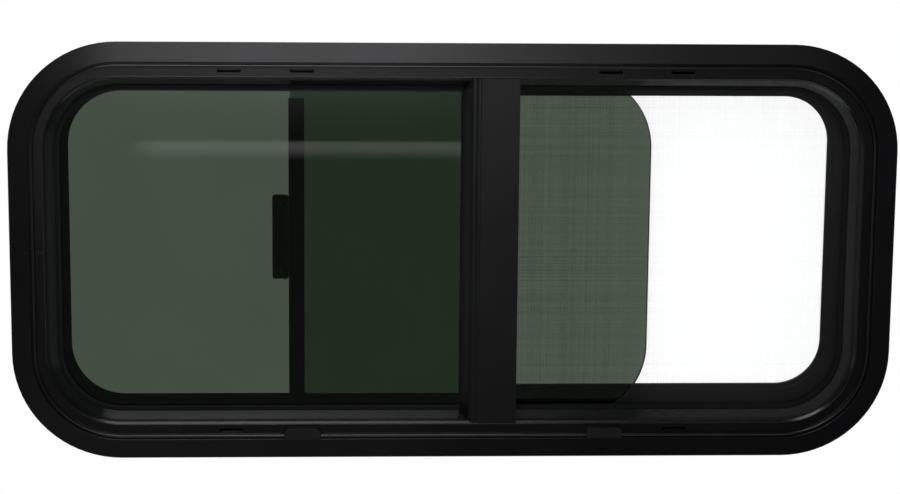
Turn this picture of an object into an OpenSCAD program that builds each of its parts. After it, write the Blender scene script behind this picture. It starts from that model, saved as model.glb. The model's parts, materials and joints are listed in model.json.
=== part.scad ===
// Half-sliding caravan window, seen from outside: black frame, fixed pane on the left,
// sliding pane with a latch and a fly screen on the right. Millimetres, +Z up, outside towards -Y.
// The origin is the window's centre, on the plane where the flange rests on the wall.

/* [Wall cut-out] */
// Width of the hole cut in the wall
cutout_w = 900; // [820:10:1100]
// Height of the hole cut in the wall
cutout_h = 400; // [360:10:500]
// Corner radius of the hole cut in the wall
cutout_r = 90; // [84:1:100]
// Thickness of the wall that the window clamps
wall_t = 40; // [36:1:44]

/* [Outer frame] */
// How far the outer flange covers the wall around the hole
flange_overlap = 26; // [25.6:0.1:30]
// Gap between the frame's body and the edge of the hole
body_clearance = 2; // [1:0.5:3]
// How far the flange's front stands off the wall
flange_stand = 6; // [5.5:0.1:7]
// How far the flange's front falls back towards its outer edge
flange_fall = 2; // [0.5:0.1:2.5]
// Thickness of the frame's aluminium
frame_t = 1.8; // [1.5:0.1:2.1]
// Width of the flange's front
flange_face_w = 21.2; // [20:0.1:21.4]
// Width of the groove between the flange's front and the rib
groove_w = 2.2; // [1.6:0.1:2.4]
// Depth of that groove
groove_depth = 2; // [1.2:0.1:2.4]
// Width of the rib beside the groove
rib_w = 3; // [2.2:0.1:3.2]
// How far the rib stands above the flange
rib_rise = 0.9; // [0.5:0.1:1.5]
// Width of the drain gutter's floor inside the frame's body
gutter_w = 6.2; // [6:0.1:7.5]
// Width of the lip between the gutter and the sloping face
lip_w = 1.4; // [1.2:0.1:2.5]
// Height of that lip above the gutter's floor
lip_rise = 1; // [0.5:0.1:1.5]
// Step from the lip down to the sloping face
lip_step = 0.8; // [0.4:0.1:1]
// Width of the sloping face
bevel_w = 10.4; // [9:0.1:11]
// How deep the sloping face runs towards the room
bevel_depth = 18.5; // [16:0.5:20]
// How strongly the sloping face bulges, where 1 is flat
bevel_bulge = 1.35; // [1:0.05:1.6]
// Distance from the flange's front to the frame's room-side face
frame_depth = 60; // [59:0.5:64]

/* [Drainage] */
// Length of each drain slot in the gutter
slot_l = 25.5; // [16:0.5:30]
// Width of each drain slot
slot_w = 3.8; // [2.4:0.1:4.4]
// Distance of the capped drain slots from the window's centre
inner_slot_x = 164.5; // [120:0.5:190]
// Distance of the open drain slots from the window's centre
outer_slot_x = 241.5; // [220:0.5:300]
// Width of a drain cap at its foot
cap_w = 39; // [34:1:44]
// Wall thickness of a drain cap
cap_t = 1.2; // [0.8:0.1:1.6]

/* [Glass] */
// Thickness of the fixed pane
fixed_glass_t = 5; // [4:0.5:5.5]
// Thickness of the sliding pane
slider_glass_t = 5; // [4:0.5:5.5]
// How far the fixed pane reaches under the sloping face
pane_cover = 4; // [3:0.5:6]
// Thickness of the rubber on both faces of the fixed pane
gasket_lip_t = 1.8; // [1.4:0.1:2.2]
// How far the rubber shows inside the sloping face
gasket_show = 4.7; // [3:0.1:8]
// How far the rubber shows beside the mullion's bead
gasket_show_mullion = 1.4; // [0.8:0.1:3]
// Thickness of the rubber around the fixed pane's edge
gasket_back_t = 2.6; // [2:0.1:4]

/* [Mullion] */
// Left edge of the mullion's flat face, from the window's centre
mullion_x = 26.2; // [16:0.1:50]
// Width of the mullion's flat face
mullion_w = 41.5; // [38:0.5:48]
// Wall thickness of the mullion's tube
mullion_t = 1.8; // [1.5:0.1:2.4]
// Width of the grooved strip between the bead and the flat face
strip_w = 8.2; // [6.5:0.1:10]
// Width of the ridge in the grooved strip
ridge_w = 2.4; // [1.6:0.1:3]

/* [Sliding pane] */
// Width of the sliding pane
slider_w = 391.5; // [380:0.5:400]
// How far the sliding pane is open
slider_open = 227; // [180:1:240]
// Depth of the sliding pane's edge in its track
slider_edge_depth = 12.5; // [10:0.5:13]
// Running gap between the sliding pane and its seals
running_gap = 0.3; // [0.2:0.05:0.5]
// Thickness of the brush seals
brush_t = 2; // [1.6:0.1:2.4]
// Width of the stile on the sliding pane's left edge
stile_w = 17; // [14:0.5:22]
// Wall thickness of the stile
stile_t = 1.5; // [1.2:0.1:1.7]
// Distance from the ends of the stile to the pane's top and bottom edge
stile_end_gap = 28; // [22:1:40]

/* [Latch] */
// Height of the latch
latch_h = 92; // [80:1:110]
// Width of the latch
latch_w = 17.5; // [15:0.5:20]
// Depth of the latch's housing
latch_t = 8; // [7:0.1:8.4]
// Height of the latch's middle above the window's centre
latch_z = 11.5; // [-20:0.5:20]
// Length of the latch's thumb lever
lever_l = 46; // [36:1:52]

/* [Fly screen] */
// Width of the screen frame's top bar that shows inside the frame's webs
screen_top_w = 13; // [11:0.5:20]
// Width of its bar on the right that shows
screen_end_w = 18.5; // [12:0.5:24]
// Width of its bottom bar that shows
screen_low_w = 21.5; // [12:0.5:24]
// Corner radius of the screen's opening
screen_r = 50; // [40:1:55]
// Thickness of the screen frame's bars
screen_bar_t = 7; // [6:0.2:7.2]
// Width of the screen's upright bar behind the mullion
screen_stile_w = 24; // [20:0.5:30]
// Thickness of the net's strands
net_t = 0.5; // [0.4:0.1:0.8]
// Openings that the net has from side to side
net_cells = 12; // [6:1:12]
// Width of the net's strands
net_strand = 2; // [1.6:0.1:3]

/* [Clamp ring] */
// How far the clamp ring covers the wall around the hole
ring_overlap = 14; // [12:0.5:20]
// Thickness of the clamp ring
ring_t = 2.5; // [2:0.1:3]
// How far the clamp ring reaches in over the frame's room side
ring_reach = 30; // [28:0.5:31]
// Distance between the screws along the clamp ring's long sides
screw_pitch = 200; // [160:5:220]

/* [Hidden] */
$fn = 64;
// Colours of the finishes
black_coat = [0.05, 0.05, 0.055];
black_rubber = [0.02, 0.02, 0.02];
black_plastic = [0.035, 0.035, 0.035];
grey_pile = [0.12, 0.12, 0.12];
bare_metal = [0.62, 0.62, 0.64];
tinted = [0.10, 0.14, 0.10, 0.6];
// Gap left where a piece lies against the one that carries it
seat = 0.2;
// Roundings of the frame's edges
edge_round = 1.2;
small_round = 0.5;
// Outer size and corner radius of the flange
outer_w = cutout_w + 2 * flange_overlap;
outer_h = cutout_h + 2 * flange_overlap;
outer_r = cutout_r + flange_overlap;
corner_x = outer_w / 2 - outer_r;
corner_z = outer_h / 2 - outer_r;
// Insets from the flange's outer edge, in the order met on the way in
rim_w = 2.5;
groove_d = flange_face_w;
rib_d = groove_d + groove_w;
ledge_d = rib_d + rib_w;
body_d = flange_overlap + body_clearance;
body_in_d = body_d + frame_t;
lip_d = body_in_d + gutter_w;
bevel_d = lip_d + lip_w;
web_d = bevel_d + bevel_w;
// Depths along Y, with 0 on the wall's face and the room side positive
front_y = -flange_stand;
ledge_y = front_y + groove_depth;
gutter_y = -frame_t - seat;
lip_y = gutter_y - lip_rise;
bevel_y = lip_y + lip_step;
bevel_end_y = bevel_y + bevel_depth;
gasket_y = bevel_end_y + frame_t;
glass_y = gasket_y + gasket_lip_t;
web1_y = glass_y + fixed_glass_t + gasket_lip_t;
track_y = web1_y + frame_t;
slider_y = track_y + brush_t + running_gap;
web2_y = slider_y + slider_glass_t + running_gap + brush_t;
screen_track_y = web2_y + frame_t;
frame_end_y = front_y + frame_depth;
room_web_y = frame_end_y - frame_t;

// Turns a drawing in the window's plane (x right, y up, depth downwards) into the wall's frame
module in_wall() { rotate([90, 0, 0]) children(); }

// A slice of a drawing in the window's plane, from depth y0 to y1
module slice(y0, y1) { translate([0, y1, 0]) in_wall() linear_extrude(y1 - y0) children(); }

// A plain box between two corners
module block(low, high) { translate(low) cube(high - low); }

// An arc of section points around a centre
function arc(c, r, a0, a1, n = 4) =
    [for (i = [0:n]) let (a = a0 + (a1 - a0) * i / n) [c[0] + r * cos(a), c[1] + r * sin(a)]];
function box_section(d0, d1, y0, y1) = [[d0, y0], [d1, y0], [d1, y1], [d0, y1]];

// Section points [inset, depth] as drawing points, for a straight bar at distance half from the centre
function bar_points(section, half) = [for (p = section) [half - p[0], -p[1]]];

// A bar along the top of the window from x0 to x1
module top_bar(section, x0, x1) {
    translate([x0, 0, 0])
        rotate([90, 0, 90]) linear_extrude(x1 - x0) polygon(bar_points(section, outer_h / 2));
}

// The upright bar at the window's right end
module end_bar(section) {
    translate([0, corner_z, 0])
        rotate([90, 0, 0]) linear_extrude(2 * corner_z) polygon(bar_points(section, outer_w / 2));
}

// A quarter turn of the section at the top right corner
module corner_bar(section) {
    translate([corner_x, corner_z, 0])
        rotate_extrude(angle = 90, $fn = 96) polygon(bar_points(section, outer_r));
}

// The right half of a ring around the window, open at x0
module half_ring(section, x0) {
    for (flip = [0, 1]) mirror([0, flip, 0]) {
        top_bar(section, x0, corner_x);
        corner_bar(section);
    }
    end_bar(section);
}

// A whole ring around the window
module ring(section) {
    half_ring(section, 0);
    mirror([1, 0, 0]) half_ring(section, 0);
}

// An upright of a section [x, depth] between two heights
module upright(section, z0, z1) {
    translate([0, z1, 0])
        rotate([90, 0, 0]) linear_extrude(z1 - z0) polygon([for (p = section) [p[0], -p[1]]]);
}

// The right part of the window's plane inside inset d, from x0
module right_outline(d, x0) {
    r = outer_r - d;
    translate([x0, -(outer_h / 2 - d)]) square([corner_x - x0, outer_h - 2 * d]);
    translate([corner_x, -corner_z]) square([r, 2 * corner_z]);
    for (s = [-1, 1]) translate([corner_x, s * corner_z]) circle(r);
}

// The sloping face as points [inset from its front edge, depth], from front to back
bevel_steps = 5;
function slope(i) = [bevel_w * i / bevel_steps, bevel_y + bevel_depth * pow(i / bevel_steps, bevel_bulge)];
slope_front = [for (i = [0:bevel_steps]) slope(i)];
slope_back = [for (i = [bevel_steps:-1:1]) slope(i) + [-frame_t, frame_t / 2]];

frame_section = concat(
    [[0, 0]],
    arc([edge_round, front_y + flange_fall + edge_round], edge_round, 180, 264),
    arc([groove_d - small_round, front_y + small_round], small_round, 270, 360),
    [[groove_d, ledge_y], [rib_d, ledge_y]],
    arc([rib_d + rib_w / 2, front_y - rib_rise + rib_w / 2], rib_w / 2, 180, 360, 8),
    [[ledge_d, gutter_y], [lip_d, gutter_y]],
    arc([lip_d + small_round, lip_y + small_round], small_round, 180, 270, 2),
    arc([bevel_d - small_round, lip_y + small_round], small_round, 270, 360, 2),
    [for (p = slope_front) p + [bevel_d, 0]],
    [[web_d, gasket_y], [web_d - frame_t, gasket_y]],
    [for (p = slope_back) p + [bevel_d, 0]],
    [[body_in_d, gutter_y + frame_t], [body_in_d, web1_y]],
    [[web_d, web1_y], [web_d, track_y], [body_in_d, track_y], [body_in_d, web2_y]],
    [[web_d, web2_y], [web_d, screen_track_y], [body_in_d, screen_track_y], [body_in_d, room_web_y]],
    [[web_d, room_web_y], [web_d, frame_end_y], [body_d, frame_end_y]],
    [[body_d, gutter_y + frame_t], [ledge_d - frame_t, gutter_y + frame_t]],
    [[ledge_d - frame_t, ledge_y + frame_t], [groove_d - frame_t, ledge_y + frame_t]],
    [[groove_d - frame_t, front_y + flange_fall + frame_t], [rim_w, front_y + flange_fall + frame_t]],
    [[rim_w, 0]]
);

// Drain slots lie in the gutter over the frame's body, on the top and bottom sides
slot_d = body_d + seat + slot_w / 2;
screw_d = body_in_d + 3.2;
shank_r = 1.9;
module slot_shape() {
    half = (slot_l - slot_w) / 2;
    square([2 * half, slot_w], center = true);
    for (s = [-1, 1]) translate([s * half, 0]) circle(slot_w / 2, $fn = 32);
}
module drain_slots() {
    for (x = [inner_slot_x, outer_slot_x]) for (sx = [-1, 1]) for (sz = [-1, 1])
        translate([sx * x, 0, 0]) slice(gutter_y - 1, gutter_y + frame_t + 0.6)
            translate([0, sz * (outer_h / 2 - slot_d)]) slot_shape();
}

// Places its children at every screw of the clamp ring
module at_screws() {
    for (i = [-1.5:1:1.5]) for (s = [-1, 1])
        translate([i * screw_pitch, 0, s * (outer_h / 2 - screw_d)]) children();
    for (sx = [-1, 1]) for (sz = [-1, 1])
        translate([sx * (outer_w / 2 - screw_d), 0, sz * corner_z / 2]) children();
}
module screw_hole(y0, y1, r) {
    translate([0, y0, 0]) rotate([-90, 0, 0]) cylinder(h = y1 - y0, r = r, $fn = 32);
}

// The seam where the bent frame's ends meet, on the left side
seam_w = 0.5;
seam_depth = 0.6;
seam_z = -1;
module frame_seam() {
    block([-outer_w / 2 - 1, front_y - 1, -seam_z - seam_w],
          [-outer_w / 2 + groove_d + 1, front_y + seam_depth, -seam_z]);
    block([-outer_w / 2 + ledge_d - 0.4, gutter_y - 0.8, -seam_z - seam_w],
          [-outer_w / 2 + lip_d + 0.4, gutter_y + seam_depth, -seam_z]);
}

// The rib is cut away where a drain cap sits
module cap_notches() {
    for (sx = [-1, 1])
        block([sx * inner_slot_x - cap_w / 2 - seat, front_y - rib_rise - 1, -outer_h / 2 + rib_d - seat],
              [sx * inner_slot_x + cap_w / 2 + seat, ledge_y, -outer_h / 2 + ledge_d + seat]);
}

module outer_frame() {
    color(black_coat) difference() {
        in_wall() ring(frame_section);
        drain_slots();
        cap_notches();
        frame_seam();
        at_screws() screw_hole(room_web_y - 1, frame_end_y + 1, shank_r + 0.1);
    }
}

module flange_seal() {
    color(black_rubber) in_wall() ring(
        box_section(rim_w + seat, groove_d - frame_t - seat, front_y + flange_fall + frame_t + seat, 0));
}

// The space between the frame's top and bottom slopes, from x0 to x1, less a gap
module between_slopes(x0, x1, gap) {
    side = concat(
        [[lip_y, outer_h / 2 - bevel_d - gap]],
        [for (p = slope_front) [p[1], outer_h / 2 - bevel_d - p[0] - gap]],
        [[track_y, outer_h / 2 - web_d - gap]]);
    back = [for (i = [len(side) - 1:-1:0]) [side[i][0], -side[i][1]]];
    translate([x0, 0, 0]) rotate([90, 0, 90]) linear_extrude(x1 - x0) polygon(concat(side, back));
}

// The mullion stands flush with the lip around the glass, its ends coped over the slopes
mullion_right = mullion_x + mullion_w;
bead_x = mullion_x - strip_w;
ridge_x = bead_x + (strip_w - ridge_w) / 2;
strip_y = lip_y + 1.2;
fin_x = bead_x - bevel_w;
mullion_section = concat(
    [[bead_x, strip_y], [ridge_x, strip_y]],
    arc([ridge_x + ridge_w / 2, lip_y + ridge_w / 2], ridge_w / 2, 180, 360, 6),
    [[ridge_x + ridge_w, strip_y], [mullion_x, strip_y]],
    arc([mullion_x + small_round, lip_y + small_round], small_round, 180, 270, 2),
    arc([mullion_right - small_round, lip_y + small_round], small_round, 270, 360, 2),
    [[mullion_right, track_y], [fin_x, track_y], [fin_x, track_y - mullion_t]],
    [[mullion_x, track_y - mullion_t], [mullion_x, strip_y + mullion_t], [bead_x, strip_y + mullion_t]]
);
module mullion_bore(gap) {
    block([mullion_x + mullion_t + gap, lip_y + mullion_t + gap, -outer_h / 2],
          [mullion_right - mullion_t - gap, track_y - mullion_t - gap, outer_h / 2]);
}
module mullion() {
    color(black_coat) difference() {
        intersection() {
            in_wall() upright(mullion_section, -outer_h / 2, outer_h / 2);
            between_slopes(fin_x - 1, mullion_right + 1, seat);
        }
        mullion_bore(0);
    }
}

// The clip-on bead along the fixed pane repeats the frame's slope and meets it in a mitre
bead_section = concat(
    [for (p = slope_front) [bead_x - seat - p[0], p[1]]],
    [[fin_x - seat, gasket_y], [fin_x - seat + frame_t, gasket_y]],
    [for (p = slope_back) [bead_x - seat - p[0], p[1]]],
    [[bead_x - seat - frame_t, gasket_y], [bead_x - seat, gasket_y]]
);
module mullion_bead() {
    color(black_coat) intersection() {
        in_wall() upright(bead_section, -outer_h / 2, outer_h / 2);
        between_slopes(fin_x - 2, bead_x, seat);
    }
}

// Channels inside the mullion's ends, screwed to the frame's slopes
bracket_l = 24;
bracket_t = 2.5;
module mullion_bracket() {
    color(bare_metal) intersection() {
        between_slopes(mullion_x, mullion_right, 2 * seat);
        difference() {
            mullion_bore(seat);
            mullion_bore(seat + bracket_t);
            block([mullion_x, lip_y, -outer_h / 2],
                  [mullion_right, track_y, outer_h / 2 - web_d - bracket_l]);
        }
    }
}
module mullion_bracket_top() { mullion_bracket(); }
module mullion_bracket_bottom() { mirror([0, 0, 1]) mullion_bracket(); }

mullion_end_z = outer_h / 2 - web_d - seat;
mullion_brush_w = 6;
module mullion_brush_seal() {
    color(grey_pile)
        block([mullion_right - mullion_brush_w - mullion_t, track_y, -mullion_end_z],
              [mullion_right - mullion_t, slider_y - running_gap, mullion_end_z]);
}

// The fixed pane fills the left half, from the frame's channel to the mullion's bead
pane_d = web_d - pane_cover;
pane_right = fin_x + pane_cover;
module fixed_glass() {
    color(tinted) mirror([1, 0, 0])
        slice(glass_y, glass_y + fixed_glass_t) right_outline(pane_d, -pane_right);
}

// The rubber channel around the fixed pane, with inset measured inwards from the pane's edge
function gasket_section(reach) = [
    [-gasket_back_t, gasket_y + seat],
    [reach - gasket_lip_t / 2, gasket_y + seat],
    [reach, gasket_y + gasket_lip_t / 2],
    [reach, glass_y - seat / 2],
    [-seat, glass_y - seat / 2],
    [-seat, glass_y + fixed_glass_t + seat / 2],
    [reach, glass_y + fixed_glass_t + seat / 2],
    [reach, web1_y - seat],
    [-gasket_back_t, web1_y - seat]
];
module fixed_glass_gasket() {
    ring_part = [for (p = gasket_section(pane_cover + gasket_show)) p + [pane_d, 0]];
    leg_part = [for (p = gasket_section(pane_cover + gasket_show_mullion)) [pane_right - p[0], p[1]]];
    leg_z = outer_h / 2 - pane_d + gasket_back_t;
    color(black_rubber) in_wall() {
        mirror([1, 0, 0]) half_ring(ring_part, -pane_right - gasket_back_t);
        upright(leg_part, -leg_z, leg_z);
    }
}

block_l = 40;
module glass_setting_blocks() {
    pane_mid = (pane_right - corner_x) / 2;
    for (s = [-1, 1])
        color(black_plastic) translate([pane_mid + s * (pane_right + corner_x) / 3, 0, 0])
            block([-block_l / 2, glass_y, -outer_h / 2 + body_in_d + seat],
                  [block_l / 2, glass_y + fixed_glass_t, -outer_h / 2 + pane_d - gasket_back_t - seat]);
}

// A hood over a drain hole, open towards the flange so that water runs out below
cap_low_d = groove_d + seat;
cap_high_d = slot_d + slot_w / 2 + 0.8;
cap_round = 5;
cap_rise = 0.8;
module cap_shape(shrink) {
    half = cap_w / 2 - shrink;
    high = cap_high_d - cap_low_d - shrink;
    square([2 * half, high - cap_round]);
    translate([cap_round, 0]) square([2 * (half - cap_round), high]);
    for (x = [cap_round, 2 * half - cap_round]) translate([x, high - cap_round]) circle(cap_round);
}
module drain_cap(x) {
    top_y = front_y - rib_rise - cap_rise;
    color(black_plastic) translate([x, 0, -outer_h / 2 + cap_low_d]) difference() {
        slice(top_y, gutter_y - seat) translate([-cap_w / 2, 0]) cap_shape(0);
        slice(top_y + cap_t, gutter_y) translate([-cap_w / 2 + cap_t, -1]) cap_shape(cap_t);
        block([-cap_w, ledge_y - seat, -1], [cap_w, gutter_y + 1, ledge_d - cap_low_d + seat]);
    }
}
module drain_cap_left() { drain_cap(-inner_slot_x); }
module drain_cap_right() { drain_cap(inner_slot_x); }

// A hollow rubber trim closes the front channel around the open half and lips onto the sliding pane
trim_show = 4;
trim_t = 1.6;
module vent_weather_seal() {
    d0 = body_in_d + 3;
    d1 = web_d + trim_show;
    color(black_rubber) in_wall() difference() {
        half_ring(box_section(d0, d1, gasket_y + seat, web1_y - seat), mullion_right + seat);
        half_ring(box_section(d0 + trim_t, d1 - trim_t, gasket_y + seat + trim_t, web1_y - seat - trim_t),
                  mullion_right);
    }
}

// Rails and brush seals of the sliding pane's track
rail_h = 3;
rail_w = 3.6;
slider_mid_y = slider_y + slider_glass_t / 2;
module glide_rail() {
    top = outer_h / 2 - body_in_d - seat;
    block([-corner_x, slider_mid_y - rail_w / 2, top - rail_h], [corner_x, slider_mid_y + rail_w / 2, top]);
}
module top_glide_rail() { color(black_plastic) glide_rail(); }
module bottom_glide_rail() { color(black_plastic) mirror([0, 0, 1]) glide_rail(); }

brush_w = 7;
brush_inset = web_d - 1;
module brush_pair() {
    for (y = [track_y + seat / 2, web2_y - brush_t])
        block([-corner_x, y, outer_h / 2 - brush_inset],
              [corner_x, y + brush_t - seat / 2, outer_h / 2 - brush_inset + brush_w]);
}
module top_brush_seal() { color(grey_pile) brush_pair(); }
module bottom_brush_seal() { color(grey_pile) mirror([0, 0, 1]) brush_pair(); }
module end_brush_seal() {
    color(grey_pile) in_wall() for (y = [track_y + seat / 2, web2_y - brush_t])
        end_bar(box_section(brush_inset - brush_w, brush_inset, y, y + brush_t - seat / 2));
}

// The sliding pane: square on the left, rounded like the frame on the right
slider_d = web_d - slider_edge_depth;
slider_shift = -slider_open;
slider_right = outer_w / 2 - slider_d + slider_shift;
slider_left = slider_right - slider_w;
slider_half_h = outer_h / 2 - slider_d;
module sliding_glass() {
    color(tinted) translate([slider_shift, 0, 0])
        slice(slider_y, slider_y + slider_glass_t) right_outline(slider_d, slider_left - slider_shift);
}

// The stile is a channel pressed over the sliding pane's left edge
stile_half_h = slider_half_h - stile_end_gap;
stile_front_y = slider_y - seat - stile_t;
stile_back_y = slider_y + slider_glass_t + seat + stile_t;
stile_round = 0.8;
module slider_stile() {
    x0 = slider_left - seat - stile_t;
    x1 = slider_left + stile_w - stile_t - seat;
    section = concat(
        arc([x0 + stile_round, stile_front_y + stile_round], stile_round, 180, 270, 3),
        arc([x1 - stile_round, stile_front_y + stile_round], stile_round, 270, 360, 3),
        [[x1, slider_y - seat], [slider_left - seat, slider_y - seat]],
        [[slider_left - seat, slider_y + slider_glass_t + seat], [x1, slider_y + slider_glass_t + seat]],
        arc([x1 - stile_round, stile_back_y - stile_round], stile_round, 0, 90, 3),
        arc([x0 + stile_round, stile_back_y - stile_round], stile_round, 90, 180, 3));
    color(black_plastic) in_wall() upright(section, -stile_half_h, stile_half_h);
}

// Nylon shoes under and over the sliding pane, grooved to run on the rails
shoe_l = 26;
shoe_end = 30;
module slider_glides() {
    z0 = slider_half_h + seat;
    z1 = outer_h / 2 - body_in_d - seat - rail_h - running_gap;
    for (x = [slider_left + shoe_end, slider_right - outer_r + slider_d - shoe_end]) for (s = [0, 1])
        mirror([0, 0, s]) color(black_plastic)
            block([x - shoe_l / 2, slider_y, z0], [x + shoe_l / 2, slider_y + slider_glass_t, z1]);
}

// The latch hangs on the stile: a rounded housing with a thumb lever, screwed on from the room
latch_x1 = slider_left - 2 * seat - stile_t;
latch_x0 = latch_x1 - latch_w;
latch_y = slider_y - stile_t / 2;
latch_round = 3;
module rounded(x0, x1, z0, z1, r) {
    translate([x0 + r, z0]) square([x1 - x0 - 2 * r, z1 - z0]);
    translate([x0, z0 + r]) square([x1 - x0, z1 - z0 - 2 * r]);
    for (x = [x0 + r, x1 - r]) for (z = [z0 + r, z1 - r]) translate([x, z]) circle(r, $fn = 32);
}
latch_mid_x = (latch_x0 + latch_x1) / 2;
lever_t = 3;
lever_play = 1;
lever_z0 = latch_z - lever_l / 2;
lever_z1 = latch_z + lever_l / 2;
// Width of the housing left on both sides of the lever's pocket
pocket_wall = 3.5;
small_r = 2;
latch_back_y = latch_y + latch_t;
module latch_body() {
    grip_w = 4;
    grip_cheek = 2;
    notch_w = 6.5;
    notch_h = 5;
    notch_depth = 3;
    foot_z = latch_z - latch_h / 2;
    color(black_plastic) difference() {
        slice(latch_y, latch_back_y)
            rounded(latch_x0, latch_x1, latch_z - latch_h / 2, latch_z + latch_h / 2, latch_round);
        // Finger grip along the free edge
        slice(latch_y + grip_cheek, latch_back_y - grip_cheek)
            rounded(latch_x0 - grip_w, latch_x0 + grip_w,
                    latch_z - latch_h / 3, latch_z + latch_h / 3, small_r);
        // Pocket that the thumb lever sits in
        slice(latch_back_y - lever_t / 2, latch_back_y + 1)
            rounded(latch_x0 + pocket_wall, latch_x1 - pocket_wall,
                    lever_z0 - lever_play, lever_z1 + lever_play, small_r);
        // Notch at the foot for the catch
        slice(latch_y - 1, latch_y + notch_depth)
            rounded(latch_mid_x - notch_w / 2, latch_mid_x + notch_w / 2,
                    foot_z - notch_h, foot_z + notch_h, small_r);
        for (s = [-1, 1]) translate([latch_mid_x, 0, latch_z + s * latch_screw_z])
            screw_hole(latch_y - 1, latch_back_y + 1, latch_screw_r + 0.1);
    }
}
module latch_lever() {
    y0 = latch_back_y - lever_t / 2 + seat;
    edge = pocket_wall + lever_play;
    grooves = 5;
    groove_pitch = 3;
    groove_r = 0.7;
    color(black_plastic) difference() {
        slice(y0, y0 + lever_t)
            rounded(latch_x0 + edge, latch_x1 - edge, lever_z0, lever_z1, small_r);
        // Grip grooves across the thumb end
        for (i = [2:grooves + 1]) translate([0, y0 + lever_t, lever_z1 - i * groove_pitch])
            rotate([0, 90, 0]) translate([0, 0, latch_x0])
                cylinder(h = latch_w, r = groove_r, $fn = 24);
    }
}
latch_screw_z = latch_h / 2 - 9;
latch_screw_r = 1.5;
module latch_screws() {
    head_r = 2.8;
    head_h = 1.2;
    color(bare_metal) for (s = [-1, 1])
        translate([latch_mid_x, 0, latch_z + s * latch_screw_z]) {
            screw_hole(latch_y + 1, latch_back_y + seat, latch_screw_r);
            screw_hole(latch_back_y + seat, latch_back_y + seat + head_h, head_r);
        }
}

// The keeper on the mullion's back catches the latch when the pane is shut
keeper_w = 12;
keeper_h = 26;
keeper_t = 1.5;
keeper_rim = 3;
module latch_keeper() {
    x0 = mullion_x + 4;
    y0 = track_y + seat;
    color(bare_metal) difference() {
        block([x0, y0, latch_z - keeper_h / 2], [x0 + keeper_w, y0 + keeper_t, latch_z + keeper_h / 2]);
        block([x0 + keeper_rim, y0 - 1, latch_z - keeper_h / 4],
              [x0 + keeper_w - keeper_rim, y0 + keeper_t + 1, latch_z + keeper_h / 4]);
    }
}

// Rubber buffers: two on the rails stop the open pane, one in the end channel meets the shut one
buffer_l = 12;
buffer_x = corner_x - 6;
module slider_stop_left() {
    for (s = [0, 1]) mirror([0, 0, s]) color(black_rubber)
        block([-buffer_x, slider_y, outer_h / 2 - slider_d - rail_h],
              [-buffer_x + buffer_l, slider_y + slider_glass_t, outer_h / 2 - body_in_d - 2 * seat - rail_h]);
}
module slider_stop_right() {
    half = 20;
    color(black_rubber)
        block([outer_w / 2 - slider_d + running_gap, slider_y, -half],
              [outer_w / 2 - body_in_d - seat, slider_y + slider_glass_t, half]);
}

// The screen's frame is a flat moulding with a raised rim, its upright bar behind the mullion
screen_left = mullion_x - 5;
screen_out_d = screw_d + shank_r + 1;
screen_back_y = room_web_y - running_gap;
screen_y = screen_back_y - screen_bar_t;
screen_rim_t = 1.6;
screen_rim_w = 6;
net_seat_w = 6;
spline_t = 0.8;
net_weave = seat / 2;
net_seat_y = screen_back_y - spline_t - seat - 2 * (net_t + net_weave);
net_y = net_seat_y + net_weave;
stile_in_x = screen_left + screen_stile_w;
module screen_opening(grow) {
    x0 = stile_in_x - grow;
    x1 = outer_w / 2 - web_d - screen_end_w + grow;
    z0 = -outer_h / 2 + web_d + screen_low_w - grow;
    z1 = outer_h / 2 - web_d - screen_top_w + grow;
    r = screen_r + grow;
    translate([x0, z0]) square([x1 - x0 - r, z1 - z0]);
    translate([x1 - r, z0 + r]) square([r, z1 - z0 - 2 * r]);
    for (z = [z0 + r, z1 - r]) translate([x1 - r, z]) circle(r);
}
module screen_frame() {
    color(black_plastic) difference() {
        slice(screen_y - screen_rim_t, screen_back_y) right_outline(screen_out_d, screen_left);
        slice(screen_y - screen_rim_t - 1, screen_back_y + 1) screen_opening(0);
        slice(screen_y - screen_rim_t - 1, screen_y) screen_opening(screen_rim_w);
        slice(net_seat_y, screen_back_y + 1) screen_opening(net_seat_w);
    }
}
// Strands of the net stand on every pitch across the opening, level strands behind upright ones
module screen_net() {
    pitch = (outer_w / 2 - web_d - screen_end_w - stile_in_x) / net_cells;
    rows = floor((outer_h / 2 - web_d - screen_low_w) / pitch);
    level_y = net_y + net_t + net_weave;
    color([0.2, 0.2, 0.2, 0.4]) {
        for (i = [1:net_cells - 1]) intersection() {
            slice(net_y, net_y + net_t) screen_opening(net_seat_w - seat);
            translate([stile_in_x + i * pitch, 0, 0])
                block([-net_strand / 2, net_seat_y, -outer_h / 2],
                      [net_strand / 2, screen_back_y, outer_h / 2]);
        }
        for (j = [-rows:rows]) intersection() {
            slice(level_y, level_y + net_t) screen_opening(net_seat_w - seat);
            translate([0, 0, j * pitch])
                block([0, net_seat_y, -net_strand / 2], [outer_w / 2, screen_back_y, net_strand / 2]);
        }
    }
}
spline_w = 2.4;
module screen_spline() {
    color(black_rubber) difference() {
        slice(screen_back_y - spline_t, screen_back_y) screen_opening(net_seat_w - 2 * seat);
        slice(net_seat_y, screen_back_y + 1) screen_opening(net_seat_w - 2 * seat - spline_w);
    }
}
// A finger pull on the screen's upright bar, towards the room
module screen_pull() {
    pull_h = 56;
    pull_w = 9;
    pull_t = 6;
    pull_r = 3;
    // Depth of the finger groove, the walls beside it and how far it stops short of the ends
    finger_w = 4;
    finger_wall = 1.5;
    finger_end = 6;
    x0 = screen_left + 5;
    y0 = screen_back_y + seat;
    color(black_plastic) difference() {
        slice(y0, y0 + pull_t) rounded(x0, x0 + pull_w, -pull_h / 2, pull_h / 2, pull_r);
        slice(y0 + finger_wall, y0 + pull_t - finger_wall)
            rounded(x0 + pull_w - finger_w, x0 + 2 * pull_w,
                    -pull_h / 2 + finger_end, pull_h / 2 - finger_end, finger_wall);
    }
}

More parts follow.
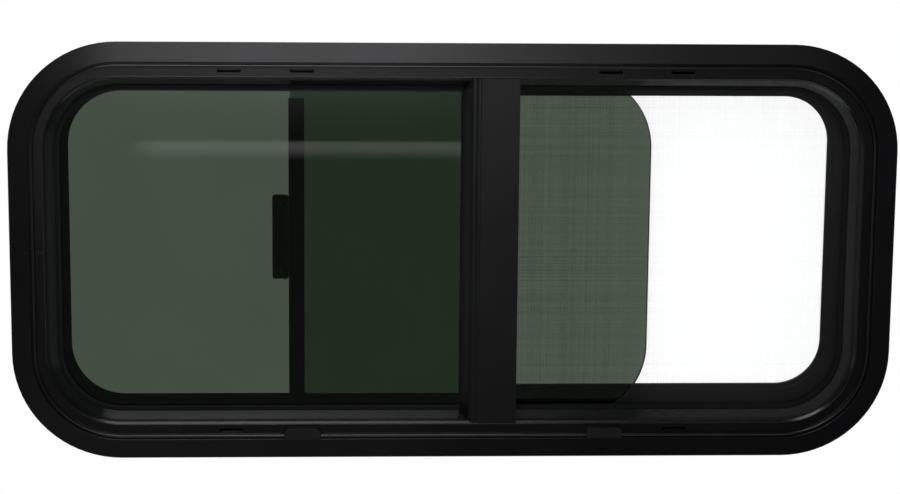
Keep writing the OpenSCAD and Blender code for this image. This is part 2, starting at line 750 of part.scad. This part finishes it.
// The clamp ring covers the wall's edge in the room and is screwed to the frame
ring_out_d = flange_overlap - ring_overlap;
ring_in_d = body_d + ring_reach;
collar_d = flange_overlap - seat;
plate_y = frame_end_y + seat;
ring_round = 2;
ring_section = concat(
    [[ring_out_d, wall_t], [collar_d, wall_t], [collar_d, plate_y], [ring_in_d, plate_y]],
    arc([ring_in_d - 1, plate_y + ring_t - 1], 1, 0, 90, 3),
    arc([collar_d - ring_t + ring_round, plate_y + ring_t - ring_round], ring_round, 90, 180, 4),
    [[collar_d - ring_t, wall_t + ring_t]],
    arc([ring_out_d + 1, wall_t + ring_t - 1], 1, 90, 180, 3)
);
module clamp_ring() {
    color(black_coat) difference() {
        in_wall() ring(ring_section);
        at_screws() screw_hole(plate_y - 1, plate_y + ring_t + 1, shank_r + 0.1);
    }
}
head_r = 3.8;
head_h = 2;
screw_l = 9;
module clamp_ring_screws() {
    y0 = plate_y + ring_t + seat / 2;
    color(bare_metal) at_screws() {
        screw_hole(y0 - screw_l, y0, shank_r);
        translate([0, y0, 0]) rotate([-90, 0, 0])
            cylinder(h = head_h, r1 = head_r, r2 = head_r * 0.6, $fn = 32);
    }
}

outer_frame();
flange_seal();
mullion();
mullion_bead();
mullion_bracket_top();
mullion_bracket_bottom();
mullion_brush_seal();
fixed_glass();
fixed_glass_gasket();
glass_setting_blocks();
drain_cap_left();
drain_cap_right();
vent_weather_seal();
top_glide_rail();
bottom_glide_rail();
top_brush_seal();
bottom_brush_seal();
end_brush_seal();
slider_stop_left();
slider_stop_right();
sliding_glass();
slider_stile();
slider_glides();
latch_body();
latch_lever();
latch_screws();
latch_keeper();
screen_frame();
screen_net();
screen_spline();
screen_pull();
clamp_ring();
clamp_ring_screws();
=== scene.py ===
"""Half-sliding caravan window: finishes, fly net, ground rim of the sliding pane, light and camera."""

import json
import math
import random

import bmesh
import bpy
from mathutils import Matrix, Vector


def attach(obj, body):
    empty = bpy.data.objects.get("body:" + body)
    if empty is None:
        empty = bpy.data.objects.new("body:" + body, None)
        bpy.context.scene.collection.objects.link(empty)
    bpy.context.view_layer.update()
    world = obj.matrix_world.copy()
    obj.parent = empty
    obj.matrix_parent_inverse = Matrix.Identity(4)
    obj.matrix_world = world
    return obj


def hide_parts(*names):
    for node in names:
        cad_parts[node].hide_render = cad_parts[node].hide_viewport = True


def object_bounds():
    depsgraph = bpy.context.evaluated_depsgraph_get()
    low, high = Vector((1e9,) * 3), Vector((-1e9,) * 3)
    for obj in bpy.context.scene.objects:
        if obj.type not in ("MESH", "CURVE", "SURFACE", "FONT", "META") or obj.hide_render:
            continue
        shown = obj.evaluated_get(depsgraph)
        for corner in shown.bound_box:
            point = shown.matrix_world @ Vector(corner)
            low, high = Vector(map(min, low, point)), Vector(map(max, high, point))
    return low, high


MM = 0.001

# The fly net inside the screen's frame: its outline, the face it lies on, its threads, the share
# by which their widths differ and the seed of the draws for them.
NET_LEFT = 39.5 * MM
NET_RIGHT = 415 * MM
NET_LOW = -162 * MM
NET_HIGH = 171 * MM
NET_RADIUS = 55 * MM
NET_Y = 50.9 * MM
NET_PITCH = 1.6 * MM
NET_THREAD = 0.15 * MM
NET_THICK = 0.03 * MM
NET_UNEVEN = 0.75
NET_SEED = 3

# The flange's outer corner radius. The sliding pane's corners have their centres at the same height.
FLANGE_RADIUS = 116 * MM

# The sliding pane's ground rim: its width on each face, how proud it lies, where it starts and
# the turn from one point of its round corners to the next, in degrees.
RIM_BAND = 0.9 * MM
RIM_PROUD = 0.02 * MM
RIM_START = 118 * MM
RIM_TURN = 3

# The sliding pane's tint where the fixed pane lies in front, and where it changes behind the mullion.
REAR_TINT = (0.215, 0.323, 0.198)
REAR_END = 30 * MM
FRONT_START = 60 * MM

# The factors of a noise texture between which a finish changes.
NOISE_LOW = 0.3
NOISE_HIGH = 0.7
# For the painted shade in grooves: how much open sky a surface sees in the bottom of a groove, and
# where it counts as open.
GROOVE_OPEN = 0.3
FACE_OPEN = 0.65
# The dust on the glass: the part of a noise texture that it covers, and how dull it makes the glass.
DUST_START = 0.5
DUST_FULL = 0.8
DUST_ROUGHNESS = 0.035
# The sockets of a mix node that take a factor and two colours and give the mixed colour.
MIX_FACTOR = 0
MIX_FIRST = 6
MIX_SECOND = 7
MIX_COLOUR = 2

# The photograph's camera, with angles in degrees and the lens in millimetres.
CAMERA_AIM = Vector((-5.748, 0, 6.155)) * MM
CAMERA_AZIMUTH = -2.856
CAMERA_ELEVATION = 10.32
CAMERA_ROLL = 0.5325
CAMERA_DISTANCE = 2.554
CAMERA_LENS = 94.904
SENSOR_WIDTH = 36

# Strength and colour of the room around the window, as soft light and in reflections.
ROOM_LIGHT = 1.0
ROOM_GLOSS = 0.038
ROOM_COLOUR = (0.94, 0.97, 1)
WHITE = (1, 1, 1)

# The shares of a lamp's width and height over which it fades at its left, right, low and high rim.
SOFT_RIM = (0.3, 0.3, 0.3, 0.3)
STRIP_RIM = (0.12, 0, 0.68, 0.22)

# The floor under the window, which hangs in its wall.
FLOOR_RADIUS = 0.75
FLOOR_BELOW = 1.3

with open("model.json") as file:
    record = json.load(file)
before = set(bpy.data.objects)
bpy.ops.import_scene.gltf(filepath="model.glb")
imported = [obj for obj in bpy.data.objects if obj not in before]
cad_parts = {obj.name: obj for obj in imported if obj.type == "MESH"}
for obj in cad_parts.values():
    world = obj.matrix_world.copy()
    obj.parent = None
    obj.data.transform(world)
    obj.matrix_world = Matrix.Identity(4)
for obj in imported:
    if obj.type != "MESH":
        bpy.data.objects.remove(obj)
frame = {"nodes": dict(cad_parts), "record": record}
cad_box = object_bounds()
nodes = frame["nodes"]


# Materials


def new_material(name):
    """An empty node material with a Principled shader on its output."""
    mat = bpy.data.materials.new(name)
    mat.use_nodes = True
    tree = mat.node_tree
    tree.nodes.clear()
    out = tree.nodes.new("ShaderNodeOutputMaterial")
    shader = tree.nodes.new("ShaderNodeBsdfPrincipled")
    tree.links.new(shader.outputs["BSDF"], out.inputs["Surface"])
    return mat, tree, shader


def noise(tree, scale, detail=4, roughness=0.5, stretch=(1, 1, 1)):
    """A noise texture in object space, scale in features a metre."""
    coord = tree.nodes.new("ShaderNodeTexCoord")
    mapping = tree.nodes.new("ShaderNodeMapping")
    mapping.inputs["Scale"].default_value = stretch
    tex = tree.nodes.new("ShaderNodeTexNoise")
    tex.inputs["Scale"].default_value = scale
    tex.inputs["Detail"].default_value = detail
    tex.inputs["Roughness"].default_value = roughness
    tree.links.new(coord.outputs["Object"], mapping.inputs["Vector"])
    tree.links.new(mapping.outputs["Vector"], tex.inputs["Vector"])
    return tex


def remap(tree, source, low, high, start=NOISE_LOW, end=NOISE_HIGH):
    """Maps a factor from start..end to low..high."""
    node = tree.nodes.new("ShaderNodeMapRange")
    node.inputs["From Min"].default_value = start
    node.inputs["From Max"].default_value = end
    node.inputs["To Min"].default_value = low
    node.inputs["To Max"].default_value = high
    tree.links.new(source, node.inputs["Value"])
    return node.outputs["Result"]


def tint(tree, source, dark, light):
    """A colour between dark and light by a factor."""
    ramp = tree.nodes.new("ShaderNodeValToRGB")
    first, last = ramp.color_ramp.elements
    first.position = NOISE_LOW
    first.color = (*dark, 1)
    last.position = NOISE_HIGH
    last.color = (*light, 1)
    tree.links.new(source, ramp.inputs["Fac"])
    return ramp.outputs["Color"]


def bump(tree, height, distance, normal=None):
    """A bump of the given height in metres over an optional normal."""
    node = tree.nodes.new("ShaderNodeBump")
    node.inputs["Strength"].default_value = 1
    node.inputs["Distance"].default_value = distance
    tree.links.new(height, node.inputs["Height"])
    if normal:
        tree.links.new(normal, node.inputs["Normal"])
    return node.outputs["Normal"]


def soft_edges(tree, radius):
    """Edges as a real press or mould leaves them, slightly round."""
    node = tree.nodes.new("ShaderNodeBevel")
    node.samples = 4
    node.inputs["Radius"].default_value = radius
    return node.outputs["Normal"]


def painted_groove_shade(tree, groove, open_face, distance):
    """Painted shade: a value that changes where a surface lies in a groove or corner, from its level on
    open faces to its level in grooves, found by ambient occlusion.
    """
    node = tree.nodes.new("ShaderNodeAmbientOcclusion")
    node.samples = 8
    node.inputs["Distance"].default_value = distance
    return remap(tree, node.outputs["AO"], groove, open_face, GROOVE_OPEN, FACE_OPEN)


def grained(name, dark, light, grain, rough, depth, edge=0.0, specular=0.5, groove_shade_reach=0.0):
    """A moulded, coated or cast surface: patchy colour, uneven gloss and a fine grain, and with a
    groove reach a painted shade that takes the gloss out of grooves and corners.
    """
    mat, tree, shader = new_material(name)
    wide = noise(tree, scale=6, detail=3)
    fine = noise(tree, scale=grain, detail=3, roughness=0.6)
    tree.links.new(tint(tree, wide.outputs["Fac"], dark, light), shader.inputs["Base Color"])
    tree.links.new(remap(tree, wide.outputs["Fac"], *rough), shader.inputs["Roughness"])
    shader.inputs["Specular IOR Level"].default_value = specular
    # Painted shade: the gloss is taken out in grooves and corners so that they read dark, as if in
    # shadow.
    if groove_shade_reach:
        groove_shaded_specular = painted_groove_shade(tree, groove=0, open_face=specular, distance=groove_shade_reach)
        tree.links.new(groove_shaded_specular, shader.inputs["Specular IOR Level"])
    base = soft_edges(tree, edge) if edge else None
    tree.links.new(bump(tree, fine.outputs["Fac"], depth, base), shader.inputs["Normal"])
    return mat


def brushed(name, dark, light, rough, stretch):
    """Bare metal with fine drawn lines."""
    mat, tree, shader = new_material(name)
    lines = noise(tree, scale=900, detail=3, roughness=0.7, stretch=stretch)
    wide = noise(tree, scale=14, detail=4)
    tree.links.new(tint(tree, wide.outputs["Fac"], dark, light), shader.inputs["Base Color"])
    tree.links.new(remap(tree, lines.outputs["Fac"], *rough), shader.inputs["Roughness"])
    tree.links.new(bump(tree, lines.outputs["Fac"], distance=0.02 * MM), shader.inputs["Normal"])
    shader.inputs["Metallic"].default_value = 1
    return mat


def tinted_glass(name, dark, light):
    """Body-tinted safety glass with a trace of dust on it."""
    mat, tree, shader = new_material(name)
    wide = noise(tree, scale=9, detail=5)
    dust = noise(tree, scale=700, detail=2)
    tree.links.new(tint(tree, wide.outputs["Fac"], dark, light), shader.inputs["Base Color"])
    dull = remap(tree, dust.outputs["Fac"], 0, DUST_ROUGHNESS, DUST_START, DUST_FULL)
    tree.links.new(dull, shader.inputs["Roughness"])
    shader.inputs["Transmission Weight"].default_value = 1
    shader.inputs["IOR"].default_value = 1.5
    return mat


def lighter_rear(mat, colour, rear_end, front_start):
    """Gives a pane another tint left of a place that the mullion hides."""
    tree = mat.node_tree
    shader = next(node for node in tree.nodes if node.type == "BSDF_PRINCIPLED")
    tinted = shader.inputs["Base Color"].links[0].from_socket
    coord = tree.nodes.new("ShaderNodeTexCoord")
    axes = tree.nodes.new("ShaderNodeSeparateXYZ")
    tree.links.new(coord.outputs["Object"], axes.inputs["Vector"])
    along = remap(tree, axes.outputs["X"], 0, 1, rear_end, front_start)
    mix = tree.nodes.new("ShaderNodeMix")
    mix.data_type = "RGBA"
    mix.inputs[MIX_FIRST].default_value = (*colour, 1)
    tree.links.new(along, mix.inputs[MIX_FACTOR])
    tree.links.new(tinted, mix.inputs[MIX_SECOND])
    tree.links.new(mix.outputs[MIX_COLOUR], shader.inputs["Base Color"])


def pile(name, dark, light):
    """Short stiff bristles across a brush seal."""
    mat, tree, shader = new_material(name)
    hairs = noise(tree, scale=2500, detail=2, roughness=0.8, stretch=(1, 0.15, 1))
    tree.links.new(tint(tree, hairs.outputs["Fac"], dark, light), shader.inputs["Base Color"])
    tree.links.new(bump(tree, hairs.outputs["Fac"], distance=0.4 * MM), shader.inputs["Normal"])
    shader.inputs["Roughness"].default_value = 0.9
    shader.inputs["Sheen Weight"].default_value = 0.3
    return mat


finish = {
    # The frame's coat gets painted shade in grooves and corners within 5 mm.
    "frame_black": grained(
        "frame_black", (0.0014, 0.0014, 0.0018), (0.0022, 0.0022, 0.0027),
        grain=1400, rough=(0.2, 0.27), depth=0.05 * MM, edge=0.4 * MM, groove_shade_reach=5 * MM,
    ),
    "bare_aluminium": brushed(
        "bare_aluminium", (0.55, 0.55, 0.57), (0.68, 0.68, 0.70),
        rough=(0.3, 0.5), stretch=(1, 1, 0.05),
    ),
    "seal_rubber": grained(
        "seal_rubber", (0.003, 0.003, 0.003), (0.005, 0.005, 0.005),
        grain=900, rough=(0.6, 0.75), depth=0.04 * MM, edge=0.3 * MM, specular=0.15,
    ),
    "brush_pile": pile("brush_pile", (0.006, 0.006, 0.006), (0.03, 0.03, 0.03)),
    "tinted_glass": tinted_glass("tinted_glass", (0.056, 0.076, 0.054), (0.059, 0.080, 0.057)),
    "cap_plastic": grained(
        "cap_plastic", (0.003, 0.003, 0.0031), (0.0045, 0.0045, 0.0046),
        grain=1800, rough=(0.38, 0.5), depth=0.04 * MM, edge=0.3 * MM, specular=0.35,
    ),
    "rail_plastic": grained(
        "rail_plastic", (0.012, 0.012, 0.012), (0.02, 0.02, 0.02),
        grain=500, rough=(0.3, 0.4), depth=0.02 * MM,
    ),
    "latch_plastic": grained(
        "latch_plastic", (0.004, 0.004, 0.004), (0.006, 0.006, 0.006),
        grain=2200, rough=(0.28, 0.4), depth=0.03 * MM, edge=0.4 * MM,
    ),
    "screen_plastic": grained(
        "screen_plastic", (0.004, 0.004, 0.0042), (0.006, 0.006, 0.0062),
        grain=1200, rough=(0.4, 0.55), depth=0.05 * MM, edge=0.4 * MM,
    ),
    "screen_net": grained(
        "screen_net", (0.93, 0.93, 0.92), (0.97, 0.97, 0.96),
        grain=300, rough=(0.6, 0.7), depth=0.01 * MM,
    ),
    "screw_steel": brushed(
        "screw_steel", (0.48, 0.48, 0.50), (0.62, 0.62, 0.63),
        rough=(0.22, 0.4), stretch=(1, 1, 1),
    ),
}
# The mullion's coat gets painted shade in grooves and corners within 3 mm.
mullion_coat = grained(
    "mullion_coat", (0.002, 0.002, 0.0025), (0.003, 0.003, 0.0035),
    grain=1400, rough=(0.28, 0.34), depth=0.05 * MM, edge=0.4 * MM, groove_shade_reach=3 * MM,
)
slider_glass = tinted_glass("slider_glass", (0.080, 0.104, 0.078), (0.084, 0.110, 0.082))
lighter_rear(slider_glass, REAR_TINT, REAR_END, FRONT_START)
ground_glass = grained(
    "ground_glass", (0.003, 0.006, 0.004), (0.006, 0.010, 0.007),
    grain=2600, rough=(0.35, 0.5), depth=0.03 * MM,
)


def dress(obj, mat):
    """Gives a piece one material."""
    obj.data.materials.clear()
    obj.data.materials.append(mat)


for part in frame["record"]["subparts"]:
    dress(nodes[part["node"]], finish[part["material_slot"]])
dress(nodes["sliding_glass"], slider_glass)
for name in ("mullion", "mullion_bead"):
    dress(nodes[name], mullion_coat)


# Pieces that are finer than the frame's solids


def scene_object(name, bm, mat):
    """Turns a bmesh into an object of one material."""
    mesh = bpy.data.meshes.new(name)
    bm.to_mesh(mesh)
    bm.free()
    obj = bpy.data.objects.new(name, mesh)
    bpy.context.scene.collection.objects.link(obj)
    dress(obj, mat)
    return obj


def piece(name, bm, mat):
    """Turns a bmesh into a piece that rides on the window."""
    obj = scene_object(name, bm, mat)
    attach(obj, "root")
    return obj


def bar(bm, low, high):
    """A plain bar between two corners."""
    xs, ys, zs = zip(low, high)
    v = [bm.verts.new((x, y, z)) for x in xs for y in ys for z in zs]
    for quad in ((0, 1, 3, 2), (4, 6, 7, 5), (0, 4, 5, 1), (2, 3, 7, 6), (0, 2, 6, 4), (1, 5, 7, 3)):
        bm.faces.new([v[i] for i in quad])


def net_edge(offset):
    """How far the net's round corner falls short, at a distance past the corner's start."""
    if offset <= 0:
        return 0
    return NET_RADIUS - math.sqrt(max(NET_RADIUS ** 2 - offset ** 2, 0))


def fly_net():
    """Woven threads of uneven width that fill the screen's frame."""
    bm = bmesh.new()
    weave = random.Random(NET_SEED)
    front = NET_Y - NET_THICK / 2
    back = NET_Y + NET_THICK / 2
    for i in range(1, int((NET_RIGHT - NET_LEFT) / NET_PITCH)):
        x = NET_LEFT + i * NET_PITCH
        short = net_edge(x - (NET_RIGHT - NET_RADIUS))
        half = NET_THREAD / 2 * weave.uniform(1 - NET_UNEVEN, 1 + NET_UNEVEN)
        bar(bm, (x - half, front, NET_LOW + short), (x + half, back, NET_HIGH - short))
    for i in range(1, int((NET_HIGH - NET_LOW) / NET_PITCH)):
        z = NET_LOW + i * NET_PITCH
        short = net_edge(max(z - (NET_HIGH - NET_RADIUS), NET_LOW + NET_RADIUS - z))
        half = NET_THREAD / 2 * weave.uniform(1 - NET_UNEVEN, 1 + NET_UNEVEN)
        bar(bm, (NET_LEFT, front, z - half), (NET_RIGHT - short, back, z + half))
    obj = piece("fly_net", bm, finish["screen_net"])
    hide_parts("screen_net")


def rim_path(right, top, radius):
    """Points and outward directions along the pane's free end, from its top edge to its bottom edge."""
    up = Vector((0, 0, 1))
    path = [(Vector((RIM_START, 0, top)), up)]
    for side, first, last in ((1, 90, 0), (-1, 0, -90)):
        middle = Vector((right - radius, 0, side * (top - radius)))
        for turn in range(first, last - 1, -RIM_TURN):
            angle = math.radians(turn)
            out = Vector((math.cos(angle), 0, math.sin(angle)))
            path.append((middle + out * radius, out))
    path.append((Vector((RIM_START, 0, -top)), -up))
    return path


def ground_rim():
    """The dull ground rim around the sliding pane's free end."""
    pane = nodes["sliding_glass"]
    corners = [pane.matrix_world @ Vector(corner) for corner in pane.bound_box]
    right = max(corner.x for corner in corners)
    top = max(corner.z for corner in corners)
    front = min(corner.y for corner in corners) - RIM_PROUD
    back = max(corner.y for corner in corners) + RIM_PROUD
    radius = FLANGE_RADIUS - (cad_box[1][2] - top)
    section = ((RIM_PROUD, front), (-RIM_BAND, front), (-RIM_BAND, back), (RIM_PROUD, back))
    bm = bmesh.new()
    rings = []
    for edge, out in rim_path(right, top, radius):
        places = [(edge + out * step, y) for step, y in section]
        rings.append([bm.verts.new((place.x, y, place.z)) for place, y in places])
    for a, b in zip(rings, rings[1:]):
        for i in range(4):
            j = (i + 1) % 4
            bm.faces.new((a[i], a[j], b[j], b[i]))
    bm.faces.new(rings[0])
    bm.faces.new(list(reversed(rings[-1])))
    bmesh.ops.recalc_face_normals(bm, faces=bm.faces)
    piece("slider_ground_edge", bm, ground_glass)


fly_net()
ground_rim()


# Light, floor and camera


def world_light():
    """White behind the window, dim soft light around it."""
    world = bpy.data.worlds.new("studio")
    bpy.context.scene.world = world
    world.use_nodes = True
    tree = world.node_tree
    tree.nodes.clear()
    out = tree.nodes.new("ShaderNodeOutputWorld")
    path = tree.nodes.new("ShaderNodeLightPath")
    seen = tree.nodes.new("ShaderNodeMath")
    seen.operation = "MAXIMUM"
    tree.links.new(path.outputs["Is Camera Ray"], seen.inputs[0])
    tree.links.new(path.outputs["Is Transmission Ray"], seen.inputs[1])
    strength = remap(tree, path.outputs["Is Glossy Ray"], ROOM_LIGHT, ROOM_GLOSS, 0, 1)
    room = tree.nodes.new("ShaderNodeBackground")
    room.inputs["Color"].default_value = (*ROOM_COLOUR, 1)
    tree.links.new(strength, room.inputs["Strength"])
    white = tree.nodes.new("ShaderNodeBackground")
    white.inputs["Color"].default_value = (*WHITE, 1)
    mix = tree.nodes.new("ShaderNodeMixShader")
    factor, first, second = mix.inputs
    tree.links.new(seen.outputs["Value"], factor)
    tree.links.new(room.outputs["Background"], first)
    tree.links.new(white.outputs["Background"], second)
    tree.links.new(mix.outputs["Shader"], out.inputs["Surface"])


def soft_rim(data, left, right, low, high):
    """Lets a lamp fade over shares of its width and height, as a diffuser does at its frame."""
    data.use_nodes = True
    tree = data.node_tree
    place = tree.nodes.new("ShaderNodeNewGeometry")
    axes = tree.nodes.new("ShaderNodeSeparateXYZ")
    tree.links.new(place.outputs["Parametric"], axes.inputs["Vector"])
    level = None
    for axis, rim, full in (("X", 0, left), ("X", 1, 1 - right), ("Y", 0, low), ("Y", 1, 1 - high)):
        if rim == full:
            continue
        rise = tree.nodes.new("ShaderNodeMapRange")
        rise.interpolation_type = "SMOOTHSTEP"
        rise.inputs["From Min"].default_value = rim
        rise.inputs["From Max"].default_value = full
        tree.links.new(axes.outputs[axis], rise.inputs["Value"])
        both = tree.nodes.new("ShaderNodeMath")
        both.operation = "MULTIPLY"
        both.inputs[0].default_value = 1
        if level:
            tree.links.new(level, both.inputs[0])
        tree.links.new(rise.outputs["Result"], both.inputs[1])
        level = both.outputs["Value"]
    tree.links.new(level, tree.nodes["Emission"].inputs["Strength"])


def softbox(name, place, aim, size, radiance, colour=WHITE, rim=None):
    """A rectangular lamp of the given radiance, aimed at a point, even or fading at its rim."""
    width, height = size
    data = bpy.data.lights.new(name, "AREA")
    data.shape = "RECTANGLE"
    data.size = width
    data.size_y = height
    data.energy = radiance * math.pi * width * height
    data.color = colour
    obj = bpy.data.objects.new(name, data)
    bpy.context.scene.collection.objects.link(obj)
    obj.location = place
    toward = Vector(aim) - Vector(place)
    obj.rotation_euler = toward.to_track_quat("-Z", "Y").to_euler()
    obj.visible_camera = False
    if rim:
        soft_rim(data, *rim)


def studio_lamps():
    """Soft lamps in front, overhead, at both sides and behind, and the strip that the panes mirror."""
    softbox("front_softbox", place=(-0.24, -3.0, 0.66), aim=(-0.24, 0, 0.66),
            size=(1.25, 1.9), radiance=2.5, colour=(0.97, 0.97, 1), rim=SOFT_RIM)
    softbox("side_softbox", place=(0.75, -3.0, 0.62), aim=(0.75, 0, 0.62),
            size=(1.05, 1.4), radiance=0.14, colour=(0.95, 0.97, 1))
    softbox("low_softbox", place=(-0.75, -2.5, -1.3), aim=(-0.75, 0, -1.3),
            size=(1.6, 0.7), radiance=0.12)
    softbox("key_softbox", place=(-0.33, -2.3, 2.0), aim=(-0.33, 0, -0.1),
            size=(1.15, 0.9), radiance=3.0, colour=(0.98, 0.98, 1))
    softbox("top_softbox", place=(-0.45, -1.3, 2.4), aim=(-0.45, -1.3, 0),
            size=(1.3, 1.3), radiance=4.2)
    softbox("left_softbox", place=(-2.4, -1.3, -0.4), aim=(0, 0, -0.05),
            size=(0.9, 0.9), radiance=1.3)
    softbox("right_softbox", place=(2.3, -1.2, -0.5), aim=(-0.3, 0, 0),
            size=(0.9, 0.9), radiance=0.8)
    softbox("back_softbox", place=(0.6, 3.0, 1.0), aim=(0, 0, 0),
            size=(1.6, 1.2), radiance=0.9)
    softbox("strip_light", place=(-0.211, -2.5, -0.2463), aim=(-0.211, 0, -0.2463),
            size=(0.742, 0.0476), radiance=0.88, rim=STRIP_RIM)


def floor():
    """A round pale floor well below the window."""
    bm = bmesh.new()
    bmesh.ops.create_circle(bm, cap_ends=True, segments=96, radius=FLOOR_RADIUS)
    paint = grained(
        "floor_paint", (0.78, 0.78, 0.78), (0.80, 0.80, 0.80),
        grain=40, rough=(0.6, 0.7), depth=0.2 * MM,
    )
    obj = scene_object("floor", bm, paint)
    obj.location = (0, 0, -FLOOR_BELOW)


def camera():
    """The camera at the photograph's angle, distance and lens."""
    data = bpy.data.cameras.new("camera")
    data.sensor_width = SENSOR_WIDTH
    data.lens = CAMERA_LENS
    obj = bpy.data.objects.new("camera", data)
    bpy.context.scene.collection.objects.link(obj)
    az = math.radians(CAMERA_AZIMUTH)
    el = math.radians(CAMERA_ELEVATION)
    roll = math.radians(CAMERA_ROLL)
    back = Vector((math.sin(az) * math.cos(el), -math.cos(az) * math.cos(el), math.sin(el)))
    side = Vector((math.cos(az), math.sin(az), 0))
    up = back.cross(side)
    right = side * math.cos(roll) + up * math.sin(roll)
    up = back.cross(right)
    obj.matrix_world = Matrix((right, up, back)).transposed().to_4x4()
    obj.location = CAMERA_AIM + CAMERA_DISTANCE * back
    bpy.context.scene.camera = obj


world_light()
studio_lamps()
floor()
camera()
bpy.context.scene.view_settings.view_transform = "Standard"
